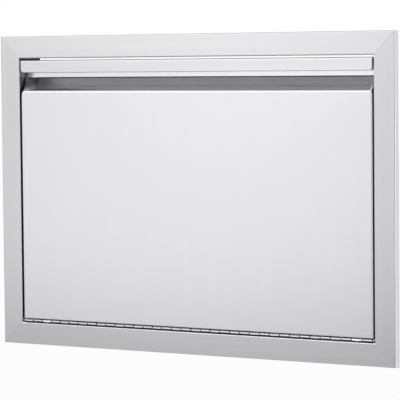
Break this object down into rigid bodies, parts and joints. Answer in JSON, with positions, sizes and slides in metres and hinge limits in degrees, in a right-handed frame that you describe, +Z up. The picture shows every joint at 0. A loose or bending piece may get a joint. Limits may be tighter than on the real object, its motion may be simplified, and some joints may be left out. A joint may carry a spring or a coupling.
{
  "type": "drop-down access door",
  "caption": "Framed stainless steel drop-down access door for an outdoor kitchen island, with a folded finger pull along its top and a continuous hinge along its bottom.",
  "frame": {"origin": "centre of the cut-out on the island's face, in the plane that the frame bears on", "axes": "+X to the right along the front, +Y into the island, +Z up; the door faces -Y"},
  "size_m": [0.762, 0.0662, 0.5334],
  "materials": {
    "frame_steel": "brushed stainless steel, grain along each rail",
    "door_steel": "finely brushed stainless steel",
    "hinge_steel": "bright stainless steel",
    "inner_steel": "mill finish stainless steel",
    "plated_steel": "zinc plated steel",
    "bumper_rubber": "matte black rubber",
    "catch_plastic": "moulded black plastic",
    "magnet": "sintered ferrite"
  },
  "bodies": {
    "frame": {"frame_top_rail": "frame_steel", "frame_bottom_rail": "frame_steel", "frame_left_stile": "frame_steel", "frame_right_stile": "frame_steel", "top_left_gusset": "inner_steel", "top_right_gusset": "inner_steel", "bottom_left_gusset": "inner_steel", "bottom_right_gusset": "inner_steel", "left_stop_angle": "inner_steel", "right_stop_angle": "inner_steel", "top_left_bumper": "bumper_rubber", "top_right_bumper": "bumper_rubber", "bottom_left_bumper": "bumper_rubber", "bottom_right_bumper": "bumper_rubber", "hinge_frame_leaf": "hinge_steel", "hinge_pin": "hinge_steel", "hinge_tack_welds": "hinge_steel", "left_catch_housing": "catch_plastic", "left_catch_magnet": "magnet", "left_catch_outer_pole": "plated_steel", "left_catch_inner_pole": "plated_steel", "right_catch_housing": "catch_plastic", "right_catch_magnet": "magnet", "right_catch_outer_pole": "plated_steel", "right_catch_inner_pole": "plated_steel", "catch_screws": "plated_steel"},
    "door": {"door_front": "door_steel", "door_liner": "door_steel", "hinge_door_leaf": "hinge_steel", "left_strike_plate": "plated_steel", "right_strike_plate": "plated_steel"}
  },
  "joints": [
    {"name": "door_hinge", "type": "hinge", "parent": "frame", "child": "door", "pos_m": [0, -0.0116, -0.2257], "axis": [1, 0, 0], "range_deg": [0, 175]}
  ]
}
